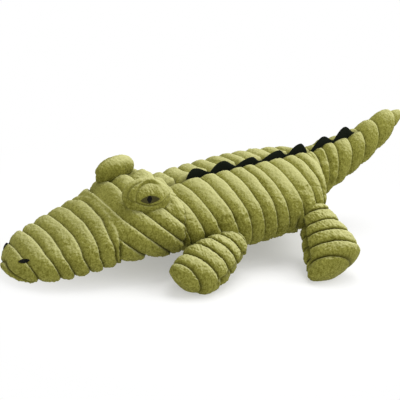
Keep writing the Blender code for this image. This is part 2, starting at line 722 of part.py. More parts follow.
# Legs
def leg_form(leg):
    """A ribbed stump from its pivot to a round foot."""
    reach = (leg.foot - leg.pivot).length
    ahead = (leg.foot - leg.pivot).normalized()
    across = ahead.cross(Vector((0.0, 0.0, 1.0))).normalized()
    upward = across.cross(ahead)

    def place(distance, sideways, height):
        return leg.pivot + ahead * distance + across * sideways + upward * height

    rows = []
    for along, swell in LEG_SHARES:
        radius = leg.root_radius + (leg.foot_radius - leg.root_radius) * swell
        rows.append((along, radius, radius, -radius, 0.0))
    length = reach + leg.foot_radius
    return Form(length, rows, place, LIMB_ROUNDNESS, reach / length)


def stuffed_leg(name, leg, torso_cutter):
    form = leg_form(leg)
    places = rib_rings(LEG_RIB_COUNT, 0.0, round_tip=True)
    places[0] = (0.0, 1.0)
    angles = around(LEG_SIDE_COUNT)

    def root(radius, first):
        """Rings of the ball at the root, from the opening to the pivot's plane."""
        rings = []
        for polar in arc_angles(first, 90.0, DOME_STEP_COUNT)[:-1]:
            turn = math.radians(polar)
            back, out = -radius * math.cos(turn), radius * math.sin(turn)
            ring = []
            for angle in angles:
                spin = math.radians(angle)
                ring.append(form.place(back, out * math.sin(spin), out * math.cos(spin)))
            rings.append(ring)
        return rings

    inset = SKIN_WALL + CLEARANCE + FILLING_EASE
    plain = arc_angles(0.0, form.cap, DOME_STEP_COUNT - 1) + arc_angles(form.cap, 1.0, DOME_STEP_COUNT)[1:]
    outside = root(leg.ball_radius, ROOT_OPENING) + outer_rings(form, places, angles)
    inside = root(leg.ball_radius - SKIN_WALL, ROOT_OPENING) + inner_rings(form, plain, angles, SKIN_WALL)
    filling = root(leg.ball_radius - inset, 0.0) + inner_rings(form, plain, angles, inset)
    skin = loft(name + "_leg_skin", outside[::-1] + inside, PLUSH, pivot=leg.pivot)
    wad = loft(name + "_leg_stuffing", filling, FILLING, pivot=leg.pivot)
    for piece in (skin, wad):
        cut(piece, torso_cutter)
        cut(piece, FLOOR)


# Felt scallops along the back
def scallops(name, crest, first, pitch, count, pivot=None):
    """A strip of felt that stands on the crest: a band, and a row of rounded teeth."""
    low, high = [], []
    for i in range(count * SCALLOP_STEP_COUNT + 1):
        distance = first + pitch * i / SCALLOP_STEP_COUNT
        foot = crest(distance)
        wave = abs(math.sin(math.pi * i / SCALLOP_STEP_COUNT)) ** SCALLOP_ROUNDNESS
        low.append(foot)
        high.append(foot + Vector((0.0, 0.0, FELT_BAND + SCALLOP_HEIGHT * wave)))
    half = Vector((0.0, FELT_THICKNESS / 2, 0.0))
    rings = [[a - half, b - half, b + half, a + half] for a, b in zip(low, high)]
    return loft(name, rings, FELT, pivot=pivot)


def torso_crest(distance):
    return TORSO_FORM.point(distance / TORSO_LENGTH, 0.0, RIB_RISE + CLEARANCE, 0.0)


def tail_crest(distance):
    return TAIL_FORM.point(distance / TAIL_FORM.length, 0.0, RIB_RISE + CLEARANCE, 0.0)


def floor_cutter():
    """Everything below the floor, for the flats where plush rests on it."""
    half_length = HEAD_LENGTH + TORSO_LENGTH
    half_width = TORSO_WIDTH
    turns = ((-1, -1), (1, -1), (1, 1), (-1, 1))
    corners = [(half_length * along, half_width * across) for along, across in turns]
    rings = [[Vector((x, y, z)) for x, y in corners] for z in (-CUT_OVERRUN, 0.0)]
    return as_cutter(loft("below_floor", rings, PLUSH))


FLOOR = floor_cutter()

dish_cutters = [dish("tail_dish", TAIL_PIVOT, grown(TAIL_ROOT_RADII, TURN_CLEARANCE), 2)]
body_cutter = as_cutter(loft("torso_envelope", torso_outline(CLEARANCE, True), PLUSH))
for leg_name, one_leg in LEGS.items():
    ball_radii = [one_leg.ball_radius] * 3
    dish_cutters.append(dish(leg_name + "_dish", one_leg.pivot, grown(ball_radii, TURN_CLEARANCE), 2))
    cut(body_cutter, dish(leg_name + "_root", one_leg.pivot, ball_radii, 2))

HEAD_PLACES = CHEEK_PLACES[:-1] + MUZZLE_PLACES
HEAD_ANGLES = UPPER_ANGLES + JAW_ANGLES[1:-1]
head_outside = outer_rings(HEAD_FORM, HEAD_PLACES, HEAD_ANGLES, CLEARANCE + SEAM_GAP)
head_envelope = as_cutter(loft("head_envelope", head_outside, PLUSH))

torso_skin(dish_cutters)
torso_stuffing(dish_cutters, squeaker())
neck_gusset()
head_panels()
head_stuffing()
eyes(head_envelope)
nostrils(head_envelope)
tail()
for leg_name, one_leg in LEGS.items():
    stuffed_leg(leg_name, one_leg, body_cutter)
first_scallop = TORSO_LENGTH - SCALLOP_PITCH * TORSO_SCALLOP_COUNT
scallops("torso_scallops", torso_crest, first_scallop, SCALLOP_PITCH, TORSO_SCALLOP_COUNT)
scallops("tail_scallops", tail_crest, TAIL_FELT_START, TAIL_SCALLOP_PITCH, TAIL_SCALLOP_COUNT, TAIL_PIVOT)
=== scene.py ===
import math

import bmesh
import bpy
from mathutils import Matrix, Vector, noise
from mathutils.bvhtree import BVHTree


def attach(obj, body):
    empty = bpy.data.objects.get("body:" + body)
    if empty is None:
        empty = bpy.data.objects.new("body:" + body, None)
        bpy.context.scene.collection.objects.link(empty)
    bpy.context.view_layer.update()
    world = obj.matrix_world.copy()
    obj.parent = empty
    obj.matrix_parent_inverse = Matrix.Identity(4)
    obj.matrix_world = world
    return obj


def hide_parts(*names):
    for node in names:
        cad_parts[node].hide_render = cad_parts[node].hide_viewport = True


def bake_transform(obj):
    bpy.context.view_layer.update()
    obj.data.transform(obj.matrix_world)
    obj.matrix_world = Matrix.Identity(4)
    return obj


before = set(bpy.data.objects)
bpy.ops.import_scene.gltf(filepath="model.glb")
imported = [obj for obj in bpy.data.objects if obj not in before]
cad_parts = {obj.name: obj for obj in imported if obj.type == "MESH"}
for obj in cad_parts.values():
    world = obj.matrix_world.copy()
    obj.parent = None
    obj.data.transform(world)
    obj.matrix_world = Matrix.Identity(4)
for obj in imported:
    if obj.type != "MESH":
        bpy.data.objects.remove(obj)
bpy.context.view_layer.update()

# ---------------------------------------------------------------- trunk
# The trunk is one tube of wide-wale plush in soft olive, its wales running round the
# body, sewn shut under the felt along the back and packed with fibre until each wale
# stands up as a plump roll. The head is sewn over its front end.

NECK_X = -0.055
TRUNK_LENGTH = 0.183
TRUNK_WIDTH = 0.147
TRUNK_CREST = 0.0965
BODY_ROUNDNESS = 2.3
# Shares of the length at which the trunk starts and ends, and where it begins to close
TRUNK_ENDS = (-0.20, 1.05)
TRUNK_CAPS = (-0.12, 0.96)

# How far plush stands over its backing on a wale and sinks in a groove, how wide a
# groove's pinch and its painted shade are, and the narrowest wale that fills out
WALE_RISE = 0.0028
WALE_SINK = -0.0026
GROOVE_REACH = 0.0011
FULL_WALE = 0.014
# The brushed pile is drawn out along the wales. For its lumps, clumps and tufts: how
# many to the metre, and how high
PILE_LAY = 0.65
PILE_LUMPS = (62, 0.0007)
PILE_CLUMPS = (300, 0.0007)
PILE_TUFTS = (680, 0.0009)
# The plush as painted in shade and in light, its painted highlight, its painted shade in a groove, and its
# sheen
PLUSH_SHADE = (0.146, 0.139, 0.016, 1.0)
PLUSH_LIGHT = (0.318, 0.311, 0.066, 1.0)
PLUSH_HIGHLIGHT = (0.600, 0.590, 0.275, 1.0)
PLUSH_GROOVE_SHADE = (0.055, 0.050, 0.003, 1.0)
PLUSH_SHEEN = (0.80, 0.80, 0.50, 1.0)

# Where each groove of the trunk crosses the back, from the neck seam
TRUNK_GROOVES = (
    -0.040, -0.022, -0.004, 0.0140, 0.0364, 0.0555, 0.0740, 0.0918,
    0.1070, 0.1270, 0.1465, 0.1625, 0.1775, 0.192, 0.206,
)
# How far a groove wanders from its line, and how far the back seam draws it forward
TRUNK_WANDER = 0.0016
SEAM_DRAW = 0.0045
# How deep the seams pinch the wales
SEAM_DEPTH = 0.0036
# Where the far shoulder and flank lie lower: depth, place along and across, each with
# its reach
TRUNK_DENTS = ((0.0046, 0.036, 0.040, 0.032, 0.022), (0.0035, 0.155, 0.036, 0.026, 0.018))
# The neck seam, as height and distance ahead of the neck
NECK_SEAM = (
    (0.020, 0.016), (0.040, 0.018), (0.057, 0.017),
    (0.070, 0.0145), (0.0816, 0.0065), (0.0838, 0.0038),
)

# Sections, in shares of the length, half width and crest: along, half width, top, bottom
# and how far the wales lean back
TRUNK_SECTIONS = (
    (-0.20, 0.84, 0.78, 0.20, 0.44),
    (-0.10, 0.915, 0.81, 0.17, 0.44),
    (0.0, 0.915, 0.84, 0.16, 0.44),
    (0.115, 0.955, 0.89, 0.135, 0.42),
    (0.333, 1.0, 0.935, 0.14, 0.24),
    (0.552, 1.0, 0.972, 0.19, 0.20),
    (0.743, 0.96, 1.004, 0.237, 0.22),
    (0.869, 0.85, 1.028, 0.311, 0.20),
    (0.945, 0.71, 1.042, 0.386, 0.10),
    (1.0, 0.54, 1.040, 0.45, 0.0),
)


def read_curve(rows, along):
    """Read a smooth curve through rows whose first column is the place along."""
    if along <= rows[0][0]:
        return rows[0][1:]
    if along >= rows[-1][0]:
        return rows[-1][1:]
    k = max(i for i in range(len(rows) - 1) if rows[i][0] <= along)
    span = rows[k + 1][0] - rows[k][0]
    t = (along - rows[k][0]) / span
    values = []
    for column in range(1, len(rows[0])):
        slopes = []
        for i in (k, k + 1):
            low, high = max(i - 1, 0), min(i + 1, len(rows) - 1)
            climb = rows[high][column] - rows[low][column]
            slopes.append(climb / (rows[high][0] - rows[low][0]))
        here, there = rows[k][column], rows[k + 1][column]
        value = (2 * t**3 - 3 * t**2 + 1) * here + (t**3 - 2 * t**2 + t) * span * slopes[0]
        value += (3 * t**2 - 2 * t**3) * there + (t**3 - t**2) * span * slopes[1]
        values.append(value)
    return values


def dip(distance, reach):
    """A soft pinch that is one at no distance."""
    return math.exp(-(distance / reach) ** 2)


def bump_at(value, centre, width):
    """A soft swelling that is one at its centre."""
    return math.exp(-((value - centre) / width) ** 2)


def wale(place, grooves, slowness=1.6):
    """Height of the plush over its backing, and how near a groove it is.

    A wale leans over the groove behind it, so it climbs slowly and drops quickly.
    """
    for low, high in zip(grooves, grooves[1:]):
        if low <= place <= high:
            width = high - low
            share = ((place - low) / width) ** slowness
            plump = (1 - abs(2 * share - 1) ** 2.8) ** 0.5
            fullness = min(1.0, width / FULL_WALE)
            near = dip(min(place - low, high - place), GROOVE_REACH)
            swell = 1 - fullness + fullness * plump
            return WALE_SINK + (WALE_RISE - WALE_SINK) * swell, near
    return WALE_RISE, 0.0


def pile(point, roughness):
    """Height of the brushed pile: soft lumps, then clumps and tufts lying along a wale."""
    lain = Vector((point.x, PILE_LAY * point.y, PILE_LAY * point.z))
    lumps = PILE_LUMPS[1] * noise.noise(point * PILE_LUMPS[0])
    clumps = PILE_CLUMPS[1] * noise.noise(lain * PILE_CLUMPS[0] + Vector((7, 3, 5)))
    tufts = PILE_TUFTS[1] * noise.noise(lain * PILE_TUFTS[0] + Vector((1, 9, 4)))
    return lumps + roughness * (clumps + tufts)


def section_point(half_width, half_height, angle, power):
    """A point of a rounded section, at an angle from the top towards +Y."""
    sine, cosine = math.sin(angle), math.cos(angle)
    across = math.copysign(abs(sine) ** (2 / power), sine) * half_width
    up = math.copysign(abs(cosine) ** (2 / power), cosine) * half_height
    return across, up


def rounded_end(along, first, last, start_cap, end_cap):
    """Share of the full section where a form closes at its ends."""
    share = 1.0
    if along < start_cap:
        share = math.sqrt(max(0.0, 1 - ((start_cap - along) / (start_cap - first)) ** 2))
    if along > end_cap:
        share = math.sqrt(max(0.0, 1 - ((along - end_cap) / (last - end_cap)) ** 2))
    return share


def paced(share, start, end):
    """Turn a share of the steps into a share along, closing them up at a rounded end."""
    if share > start:
        return end + (1 - end) * math.sin(0.5 * math.pi * (share - start) / (1 - start))
    return end * share / start


def sew(name, steps, sides, shape):
    """Roll a sheet of plush into a closed form.

    The shape takes shares along and around, and returns a point and how near it is to
    a groove, which is kept as a mask of painted shade. Faces that turn up, or back
    towards the key lamp, are marked with painted light, to be painted paler.
    """
    sheet = bmesh.new()
    bmesh.ops.create_grid(sheet, x_segments=steps, y_segments=sides, size=0.5)
    groove = sheet.verts.layers.float.new("groove")
    painted_light = sheet.verts.layers.float.new("painted_light")
    for vert in sheet.verts:
        vert.co, vert[groove] = shape(vert.co.x + 0.5, vert.co.y + 0.5)
    bmesh.ops.remove_doubles(sheet, verts=sheet.verts, dist=1e-6)
    bmesh.ops.recalc_face_normals(sheet, faces=sheet.faces)
    sheet.normal_update()
    for vert in sheet.verts:
        # painted light: paler where a face turns up and back towards the key lamp, darker where it turns
        # down and forward
        vert[painted_light] = 0.5 + 0.42 * vert.normal.z + 0.24 * vert.normal.x
    mesh = bpy.data.meshes.new(name)
    sheet.to_mesh(mesh)
    sheet.free()
    mesh.shade_smooth()
    piece = bpy.data.objects.new(name, mesh)
    bpy.context.scene.collection.objects.link(piece)
    return piece


# Where the legs are sewn in, on the right side: pivot, foot and radius at the root
LEG_ROOTS = (
    (Vector((-0.019, 0.076, 0.036)), Vector((-0.074, 0.095, 0.0218)), 0.0190),
    (Vector((0.096, 0.077, 0.049)), Vector((0.091, 0.116, 0.0262)), 0.0200),
)


def leg_seam(base, root):
    """How hard a leg's seam pinches the trunk at a point, and the tucks beside it."""
    pivot, foot, radius = root
    beside = Vector((base.x, abs(base.y), base.z)) - pivot
    ahead = (foot - pivot).normalized()
    outward = beside.dot(ahead)
    if outward <= -0.035:
        return 0.0, 0.0
    away = (beside - ahead * outward).length - radius
    ring = dip(away - 0.0030, 0.0024) * (0.8 if outward > -0.02 else 0.4)
    ring *= 1 - 0.75 * min(1.0, max(0.0, beside.z / 0.012))
    return ring, 0.0024 * dip(away - 0.0060, 0.0070) * noise.noise(base * 120)


def trunk_shape(share, turn):
    first, last = TRUNK_ENDS
    along = first + (last - first) * share
    half_width, top, bottom, lean = read_curve(TRUNK_SECTIONS, along)
    half_width *= TRUNK_WIDTH / 2
    centre, half_height = TRUNK_CREST * (top + bottom) / 2, TRUNK_CREST * (top - bottom) / 2
    closing = rounded_end(along, first, last, *TRUNK_CAPS)
    angle = 2 * math.pi * turn
    upward = math.cos(angle)
    across, up = section_point(half_width, half_height, angle, BODY_ROUNDNESS)
    place = TRUNK_LENGTH * along
    base = Vector((NECK_X + place + lean * (half_height - up), across, centre + up))
    wobble = TRUNK_WANDER * noise.noise(Vector((along * 5, upward * 1.6, math.sin(angle) * 1.6)))
    drawn = SEAM_DRAW * dip(across, 0.012) * max(0.0, upward)
    height, near = wale(place + wobble + drawn, TRUNK_GROOVES)
    height += pile(base, 0.90 - 0.55 * upward)
    # the back seam under the felt, the belly's, and those round the legs
    seam = dip(across, 0.0036) if upward > 0 else 0.6 * dip(across, 0.004)
    for root in LEG_ROOTS:
        ring, tucks = leg_seam(base, root)
        seam = max(seam, ring)
        height += tucks
    height -= SEAM_DEPTH * seam
    # beside the felt each wale ends in a rounded lobe
    if upward > 0:
        height += 0.0012 * bump_at(abs(across), 0.0085, 0.0045) * (1 - near)
    for depth, at, reach, aside, spread in TRUNK_DENTS:
        height -= depth * bump_at(place, at, reach) * bump_at(across, aside, spread) * max(0.0, upward)
    # ahead of the neck seam the cloth dives under the head
    short = read_curve(NECK_SEAM, base.z)[0] - (NECK_X - base.x)
    tuck = min(1.0, max(0.0, (short + 0.001) / 0.004))
    height = height * tuck - 0.006 * (1 - tuck)
    near = max(near, dip(short - 0.0004, 0.0012))
    across, up = section_point(
        (half_width + height) * closing, (half_height + height) * closing, angle, BODY_ROUNDNESS)
    return Vector((base.x, across, centre + up)), max(near, 0.8 * seam)


trunk = sew("trunk_plush", 240, 405, trunk_shape)


class Wire:
    """A socket of a material or world under construction, with arithmetic."""

    def __init__(self, material, socket):
        self.material = material
        self.socket = socket

    def node(self, kind, settings=(), **values):
        tree = self.material.node_tree
        made = tree.nodes.new(kind)
        for name, value in dict(settings).items():
            setattr(made, name, value)
        for name, value in values.items():
            key = int(name[1:]) if name[0] == "_" and name[1:].isdigit() else name.replace("_", " ")
            socket = made.inputs[key]
            if isinstance(value, Wire):
                tree.links.new(value.socket, socket)
            else:
                socket.default_value = value
        return made

    def out(self, made, name=0):
        return Wire(self.material, made.outputs[name])

    def maths(self, operation, *values):
        numbered = {f"_{i}": value for i, value in enumerate(values)}
        return self.out(self.node("ShaderNodeMath", {"operation": operation}, **numbered))

    def mix(self, low, high):
        """Blend two colours by this wire."""
        settings = {"data_type": "RGBA"}
        return self.out(self.node("ShaderNodeMix", settings, _0=self, _6=low, _7=high), 2)

    def clamp(self):
        return self.out(self.node("ShaderNodeClamp", Value=self))

    def noise(self, scale, detail=2.0, roughness=0.5):
        values = {"Vector": self, "Scale": scale, "Detail": detail, "Roughness": roughness}
        return self.out(self.node("ShaderNodeTexNoise", **values))

    def __add__(self, other):
        return self.maths("ADD", self, other)

    def __radd__(self, other):
        return self.maths("ADD", other, self)

    def __sub__(self, other):
        return self.maths("SUBTRACT", self, other)

    def __rsub__(self, other):
        return self.maths("SUBTRACT", other, self)

    def __mul__(self, other):
        return self.maths("MULTIPLY", self, other)

    def __rmul__(self, other):
        return self.maths("MULTIPLY", other, self)


def new_finish(name, roughness, **constants):
    """Start a material: return it, its shader, and the places on the piece as a wire."""
    finish = bpy.data.materials.new(name)
    finish.use_nodes = True
    shader = finish.node_tree.nodes["Principled BSDF"]
    shader.inputs["Roughness"].default_value = roughness
    for key, value in constants.items():
        shader.inputs[key.replace("_", " ")].default_value = value
    start = Wire(finish, None)
    places = start.out(start.node("ShaderNodeTexCoord"), "Object")
    return finish, shader, places


def connect(wire, shader, name):
    wire.material.node_tree.links.new(wire.socket, shader.inputs[name])


def emboss(height, shader, strength, distance):
    """Give a finish its fine relief."""
    bump = height.node("ShaderNodeBump", Strength=strength, Distance=distance, Height=height)
    connect(height.out(bump), shader, "Normal")


def plush_finish():
    """Olive plush: a body colour painted between shade and light, a painted highlight on faces that turn up
    and back, and painted shade in the grooves and seams.
    """
    finish, shader, places = new_finish(
        "olive_plush", 0.95, Sheen_Weight=0.12, Sheen_Roughness=0.5,
        Sheen_Tint=PLUSH_SHEEN, Specular_IOR_Level=0.08,
    )
    groove = places.out(places.node("ShaderNodeAttribute", {"attribute_name": "groove"}), "Fac")
    painted_light = places.out(places.node("ShaderNodeAttribute", {"attribute_name": "painted_light"}), "Fac")
    lay = (1.0, PILE_LAY, PILE_LAY)
    lain = places.out(places.node("ShaderNodeVectorMath", {"operation": "MULTIPLY"}, _0=places, _1=lay))
    tufts = lain.noise(1000.0, 2.0, 0.6)
    clumps = lain.noise(420.0, 2.0, 0.55)
    brushing = places.noise(40.0, 1.0, 0.5)
    tousled = ((tufts - 0.5) * 2.2 + (clumps - 0.5) * 1.7) * (1.5 - painted_light)
    # painted light and shade: the body colour runs from its shaded to its lit copy with the painted light
    # mask, over random tousled pile
    tone = tousled + (brushing - 0.5) * 0.4 + (painted_light - 0.5) * 0.55 + 0.5
    body = tone.clamp().mix(PLUSH_SHADE, PLUSH_LIGHT)
    # painted highlight: a pale, less saturated colour laid where the painted light mask is high, broken up
    # by tufts
    painted_highlight = ((tufts - 0.5) * 0.9 + (painted_light - 0.5) * 2.9 - 0.48).clamp()
    highlighted = painted_highlight.mix(body, PLUSH_HIGHLIGHT)
    # painted shade: grooves, seams, the mouth line and the eye's folds are darkened towards a near-black
    # olive
    connect((groove * 0.92).clamp().mix(highlighted, PLUSH_GROOVE_SHADE), shader, "Base Color")
    emboss(tufts + clumps * 0.6, shader, 0.6, 0.0007)
    return finish


PLUSH = plush_finish()
trunk.data.materials.append(PLUSH)
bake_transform(trunk)
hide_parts("torso_skin", "torso_stuffing_upper", "torso_stuffing_lower", "neck_gusset")

# ---------------------------------------------------------------- back felt
# A black felt strip cut into low uneven scallops by hand and caught in the back seam;
# its base is buried between the lobes of the wales.

FELT_THICKNESS = 0.0020
FELT_BURIED = 0.003
FELT_SHADE = (0.003, 0.005, 0.003, 1.0)
FELT_BLOOM = (0.014, 0.018, 0.011, 1.0)
# Each scallop: start, peak, end and height above the seam
BACK_SCALLOPS = (
    (-0.0350, -0.0260, -0.0040, 0.0122), (-0.0040, 0.0110, 0.0300, 0.0132), (0.0300, 0.0500, 0.0605, 0.0102),
    (0.0640, 0.0870, 0.0970, 0.0108), (0.1010, 0.1155, 0.1275, 0.0132),
)


def scallop_height(along, scallops, valley):
    """Height of the cut edge: each scallop rises to its peak and falls to the next."""
    for start, peak, end, height in scallops:
        if start <= along <= end:
            if along < peak:
                share, sharpness = (along - start) / (peak - start), 0.9
            else:
                share, sharpness = (end - along) / (end - peak), 1.5
            return valley + (height - valley) * math.sin(0.5 * math.pi * share) ** sharpness
    return valley


def felt_strip(name, first, last, steps, seam_line, scallops, valley):
    """A closed strip: along it, then round its edge from base to peak and back."""
    def strip_shape(share, turn):
        along = first + (last - first) * share
        closing = rounded_end(share, 0.0, 1.0, 0.02, 0.98)
        x, z = seam_line(along)
        top = scallop_height(along, scallops, valley) * closing
        angle = 2 * math.pi * turn
        up = math.copysign(abs(math.cos(angle)) ** 0.6, math.cos(angle))
        fuzz = 0.00022 * noise.noise(Vector((along * 900, math.cos(angle) * 5, 0)))
        level = z + (top + FELT_BURIED) * (0.5 + 0.5 * up) - FELT_BURIED + (fuzz if up > 0.9 else 0)
        bend = 0.0011 * noise.noise(Vector((along * 55, up * 0.9, 3)))
        side = FELT_THICKNESS / 2 * math.sin(angle) * closing
        return Vector((x, side + bend, level)), 0.0

    return sew(name, steps, 24, strip_shape)


def back_line(x):
    """Where the back seam runs under the felt."""
    top = read_curve(TRUNK_SECTIONS, (x - NECK_X) / TRUNK_LENGTH)[1]
    return x, TRUNK_CREST * top - 0.0012


def felt_finish():
    """Black wool felt: matted fibre with a faint grey bloom."""
    finish, shader, places = new_finish("black_felt", 0.95, Sheen_Weight=0.05, Specular_IOR_Level=0.05)
    fibre = places.noise(800.0, 3.0, 0.6)
    connect(fibre.mix(FELT_SHADE, FELT_BLOOM), shader, "Base Color")
    emboss(fibre, shader, 0.6, 0.0004)
    return finish


FELT = felt_finish()
back_felt = felt_strip("back_felt", -0.0352, 0.1272, 420, back_line, BACK_SCALLOPS, 0.0034)
back_felt.data.materials.append(FELT)
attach(back_felt, "torso")
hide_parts("torso_scallops")

# ---------------------------------------------------------------- head
# Muzzle, crown and cheeks are three cuts of the same plush. On the muzzle the wales
# run round it, on the cheeks they run down and back, and a seam before the eyes joins
# the two. The back edge is sewn over the front of the trunk.

HEAD_LENGTH = 0.193
HEAD_WIDTH = 0.136
HEAD_CREST = 0.087
CHIN_LIFT = 0.0028
# Shares of the length where the head starts and where the nose begins to round off
HEAD_START = -0.05
NOSE_CAP = 0.885
NOSE_PLUMPNESS = 0.003
HEAD_WANDER = 0.0014

# Sections from neck to nose, in shares as the trunk's
HEAD_SECTIONS = (
    (-0.06, 0.93, 0.90, 0.165, 0.10),
    (0.0, 0.965, 0.935, 0.16, 0.10),
    (0.15, 1.0, 1.0, 0.15, 0.15),
    (0.24, 1.02, 0.99, 0.16, 0.30),
    (0.36, 0.96, 0.93, 0.155, 0.36),
    (0.416, 0.92, 0.86, 0.15, 0.36),
    (0.49, 0.875, 0.765, 0.14, 0.35),
    (0.614, 0.83, 0.645, 0.08, 0.32),
    (0.762, 0.75, 0.510, 0.02, 0.28),
    (0.86, 0.635, 0.44, 0.0, 0.20),
    (1.0, 0.40, 0.290, 0.0, 0.05),
)
# Grooves of the muzzle, as distances from the neck, and of the cheeks along their slant
MUZZLE_GROOVES = (0.215, 0.1840, 0.1612, 0.1457, 0.1278, 0.1110, 0.0938)
CHEEK_GROOVES = (-0.040, -0.008, 0.016, 0.0405, 0.066, 0.0950, 0.1245, 0.155, 0.190)
CHEEK_SLANT = 1.26
CROWN_LEVEL = 0.084
# The seam between the two, as height and distance from the neck
CHEEK_SEAM = (
    (0.010, 0.076), (0.020, 0.083), (0.0376, 0.0885), (0.048, 0.0888), (0.059, 0.0884), (0.065, 0.0882),
    (0.069, 0.0872), (0.0716, 0.0862), (0.076, 0.0835), (0.080, 0.0800), (0.090, 0.0785),
)
# Where the crown stands up between the eyes: height, distance from the neck and place
# across, each with its reach; and the lobe in which a wale ends behind each eye
CROWN_LUMPS = ((0.0066, 0.050, 0.022, 0.006, 0.022), (0.0075, 0.021, 0.011, 0.014, 0.016))
EYE_LOBE = (0.0040, 0.0175, 0.007, 0.045, 0.009)
# The mouth line: how high it runs under the nose, and how steeply it drops to the sides
MOUTH_X = -0.222
MOUTH_HEIGHT = 0.0200
MOUTH_DROP = 0.48


def head_wale(point):
    """Height of the plush of the head, and how near a groove or the seam it is."""
    ahead = NECK_X - point.x
    wobble = HEAD_WANDER * noise.noise(point * 28)
    seam = read_curve(CHEEK_SEAM, point.z)[0]
    past = 0.9 * (ahead - seam)
    clear = min(1.0, max(0.15, (0.060 - point.z) / 0.014))
    if past > 0:
        # round the chin the grooves turn back, and the last one bows ahead on the cheek
        turned = ahead + 0.55 * max(0.0, 0.036 - point.z) + wobble
        turned -= 0.0035 * bump_at(point.z, 0.056, 0.009) * bump_at(ahead, 0.094, 0.010)
        behind = min(seam, 0.0895) - 0.012 * (1 - clear)
        height, near = wale(-turned, [-g for g in MUZZLE_GROOVES] + [-behind])
    else:
        slant = ahead + CHEEK_SLANT * (CROWN_LEVEL - point.z) + wobble
        slant -= 0.0015 * min(1.0, max(0.0, (0.082 - point.z) / 0.003))
        height, near = wale(-slant, [-g for g in CHEEK_GROOVES[::-1]])
    edge = dip(past, 0.0012) * clear
    # away from a clear seam the two cuts are eased into each other
    ease = dip(past, 0.0040) * (1 - clear) * 0.7
    height = height * (1 - ease) + 0.0010 * ease
    return height * (1 - edge) + 0.7 * WALE_SINK * edge, max(near * (1 - ease), edge * 0.8)


def lump_at(lump, from_neck, across):
    """Height of a lump of stuffing at a distance from the neck and a place across."""
    height, at, reach, aside, spread = lump
    return height * bump_at(from_neck, at, reach) * bump_at(across, aside, spread)


def pressed(level, point):
    """Keep plush off the floor, which presses it flat."""
    return max(level, 0.0002 + 0.0001 * noise.noise(point * 300))


def head_shape(share, turn):
    first, last = HEAD_START, 1 + NOSE_PLUMPNESS / HEAD_LENGTH
    along = first + (last - first) * paced(share, 0.80, (NOSE_CAP - first) / (last - first))
    half_width, top, bottom, lean = read_curve(HEAD_SECTIONS, along)
    half_width *= HEAD_WIDTH / 2
    low = bottom * HEAD_CREST + CHIN_LIFT
    centre, half_height = (HEAD_CREST * top + low) / 2, (HEAD_CREST * top - low) / 2
    closing = rounded_end(along, first, last, 0.0, NOSE_CAP)
    angle = 2 * math.pi * turn
    upward = math.cos(angle)
    across, up = section_point(half_width * closing, half_height * closing, angle, BODY_ROUNDNESS)
    place = HEAD_LENGTH * along - lean * (half_height - up)
    base = Vector((NECK_X - place, across, centre + up))
    height, near = head_wale(base)
    height += pile(base, 1.0 - 0.45 * upward)
    # the neck edge is gathered into small tucks
    from_neck = NECK_X - base.x
    height += 0.0034 * bump_at(from_neck, 0.014, 0.012) * noise.noise(base * 105)
    # past the neck seam the cloth is caught under the trunk's
    beyond = read_curve(NECK_SEAM, base.z)[0] - from_neck
    if beyond > 0:
        height -= min(0.0075, 1.2 * beyond)
        near = max(near, dip(beyond, 0.002))
    for lump in CROWN_LUMPS:
        height += lump_at(lump, from_neck, across) * max(0.0, upward)
    height += lump_at(EYE_LOBE, from_neck, abs(across)) * max(0.0, upward)
    # the mouth is a pinched line round the nose, over a low lip that stands out
    thin, pushed = closing, 0.0
    if base.x < MOUTH_X:
        over_mouth = base.z - (MOUTH_HEIGHT - MOUTH_DROP * math.hypot(across, 0.004))
        pinch = dip(over_mouth, 0.0013)
        pout = bump_at(over_mouth, -0.0062, 0.0052)
        height += -0.0030 * pinch + 0.0015 * pout
        near = max(near, pinch)
        pushed = (0.0018 * pout - 0.0016 * pinch) * min(1.0, max(0.0, (-0.234 - base.x) / 0.010))
        thin = max(closing, 0.35)
    across, up = section_point(
        half_width * closing + height * thin, half_height * closing + height * thin, angle, BODY_ROUNDNESS)
    return Vector((base.x - pushed, across, pressed(centre + up, base))), near


head = sew("head_plush", 255, 388, head_shape)
head.data.materials.append(PLUSH)
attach(head, "head")
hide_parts("head_skin", "muzzle_skin", "jaw_skin", "head_stuffing")

# ---------------------------------------------------------------- tail
# The tail is a stuffed cone of the same plush that curves up and back, sewn to the
# rump with a few loose tucks.

TAIL_X, TAIL_Z = 0.13744, 0.06948
TAIL_LENGTH = 0.1195
TAIL_WIDTH = 0.060
TAIL_THICKNESS = 0.054
TAIL_RISE = 0.067
TAIL_LEAN = 0.12
TAIL_ROUNDNESS = 2.0
# Shares of the length at which the tail starts, and where it begins to close
TAIL_START = -0.18
TAIL_CAPS = (-0.06, 0.86)
TIP_PLUMPNESS = 0.003
TAIL_WANDER = 0.0014
TAIL_GROOVES = (-0.030, -0.008, 0.003, 0.0185, 0.040, 0.060, 0.080, 0.1055, 0.140)
# Sections, in shares: along, half width, rise and half thickness
TAIL_SECTIONS = (
    (0.0, 1.0, 0.045, 1.06),
    (0.176, 0.87, 0.185, 1.0),
    (0.379, 0.72, 0.315, 0.86),
    (0.556, 0.64, 0.475, 0.75),
    (0.708, 0.57, 0.650, 0.69),
    (0.825, 0.48, 0.790, 0.57),
    (0.925, 0.34, 0.900, 0.40),
    (1.0, 0.25, 0.980, 0.28),
)


